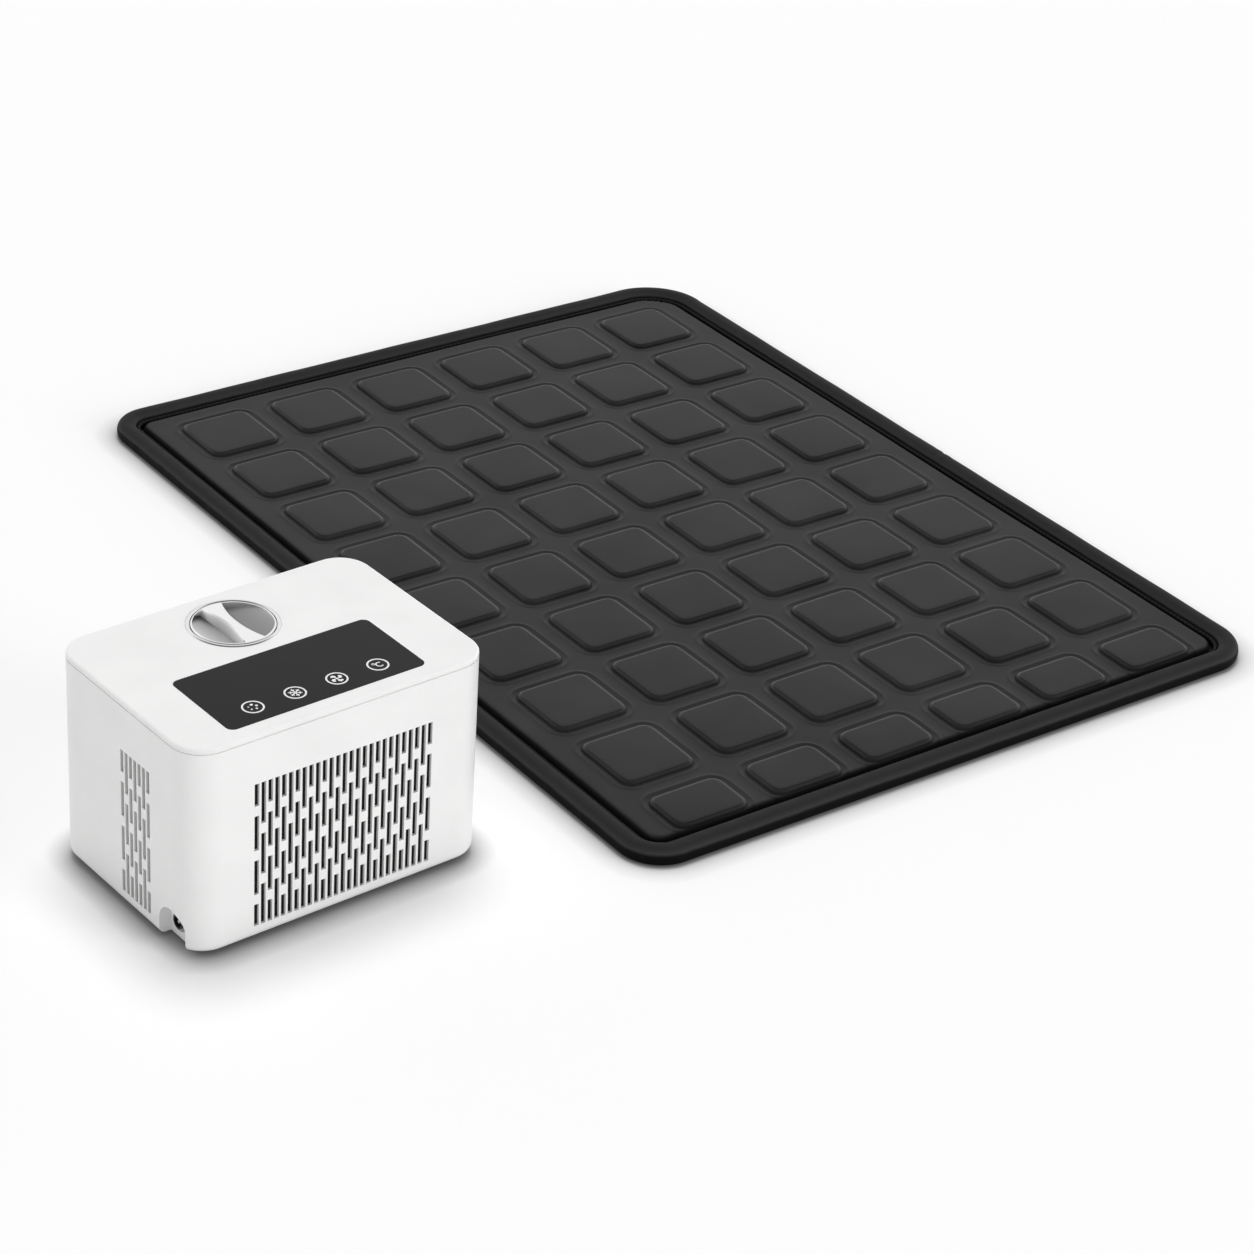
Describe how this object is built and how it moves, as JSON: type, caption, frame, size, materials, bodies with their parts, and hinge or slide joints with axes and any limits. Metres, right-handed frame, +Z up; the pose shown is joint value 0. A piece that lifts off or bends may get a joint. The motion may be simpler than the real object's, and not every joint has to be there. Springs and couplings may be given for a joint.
{
  "type": "heated water pet pad",
  "caption": "Padded water mat with raised squares and a soft edge roll, and a white control unit with slotted grilles, touch panel and filler cap",
  "frame": {"origin": "on the floor under the middle of the mat", "axes": "+X along the mat's short side, away from the unit, +Y along its long side, +Z up"},
  "size_m": [0.6995, 0.6, 0.1245],
  "materials": {
    "mat_cover": "dark satin padded sheet",
    "mat_roll": "dark padded edge roll",
    "mat_piping": "black piping",
    "mat_base": "black non-slip sheet",
    "bladder": "milky soft sheet",
    "foam": "grey foam",
    "gland_plastic": "black matte moulding",
    "white_plastic": "matte white",
    "panel_gloss": "gloss black",
    "board": "green board",
    "silver": "satin silver",
    "seal_rubber": "dark grey rubber",
    "foot_rubber": "black rubber",
    "tank_plastic": "milky plastic",
    "pump_plastic": "black plastic",
    "impeller_plastic": "ivory plastic",
    "steel": "plain steel",
    "fan_plastic": "black plastic",
    "bronze": "plain bronze",
    "aluminium": "plain aluminium",
    "module_ceramic": "white ceramic",
    "hose": "soft grey hose",
    "jack_plastic": "black plastic",
    "jack_metal": "light steel"
  },
  "bodies": {
    "base": {"mat_top_sheet": "mat_cover", "mat_edge_roll": "mat_roll", "mat_edge_piping": "mat_piping", "mat_bottom_sheet": "mat_base", "mat_water_bladder": "bladder", "mat_foam_layer": "foam", "mat_hose_gland": "gland_plastic", "mat_hose_spigots": "gland_plastic", "supply_port": "gland_plastic", "return_port": "gland_plastic", "housing": "white_plastic", "top_cover": "white_plastic", "touch_panel": "panel_gloss", "control_board": "board", "main_board": "board", "filler_ring": "silver", "tank_grommet": "seal_rubber", "rubber_feet": "foot_rubber", "water_tank": "tank_plastic", "tank_lid": "tank_plastic", "pump_volute": "pump_plastic", "pump_motor": "pump_plastic", "pump_shaft": "steel", "fan_straps": "steel", "clamp_bars": "steel", "fan_frame": "fan_plastic", "fan_bearing": "bronze", "jack_pin": "bronze", "heat_sink": "aluminium", "water_block": "aluminium", "thermoelectric_modules": "module_ceramic", "hose_pump_to_block": "hose", "hose_block_to_supply": "hose", "dc_jack": "jack_plastic", "jack_nut": "jack_metal"},
    "cap_seal": {"cap_seal": "seal_rubber"},
    "filler_cap": {"filler_cap": "silver"},
    "fan_rotor": {"fan_rotor": "fan_plastic"},
    "pump_impeller": {"pump_impeller": "impeller_plastic"}
  },
  "joints": [
    {"name": "cap_lift", "type": "slide", "parent": "base", "child": "cap_seal", "axis": [0, 0, 1], "range_m": [0, 0.06]},
    {"name": "cap_turn", "type": "hinge", "parent": "cap_seal", "child": "filler_cap", "pos_m": [-0.38542, -0.1445, 0.12], "axis": [0, 0, 1], "range_deg": [0, 90]},
    {"name": "fan_spin", "type": "hinge", "parent": "base", "child": "fan_rotor", "pos_m": [-0.37801, -0.22853, 0.0528], "axis": [-0.0523, 0.9986, 0], "continuous": true},
    {"name": "pump_spin", "type": "hinge", "parent": "base", "child": "pump_impeller", "pos_m": [-0.32085, -0.14412, 0.026], "axis": [0.9986, 0.0523, 0], "continuous": true}
  ]
}
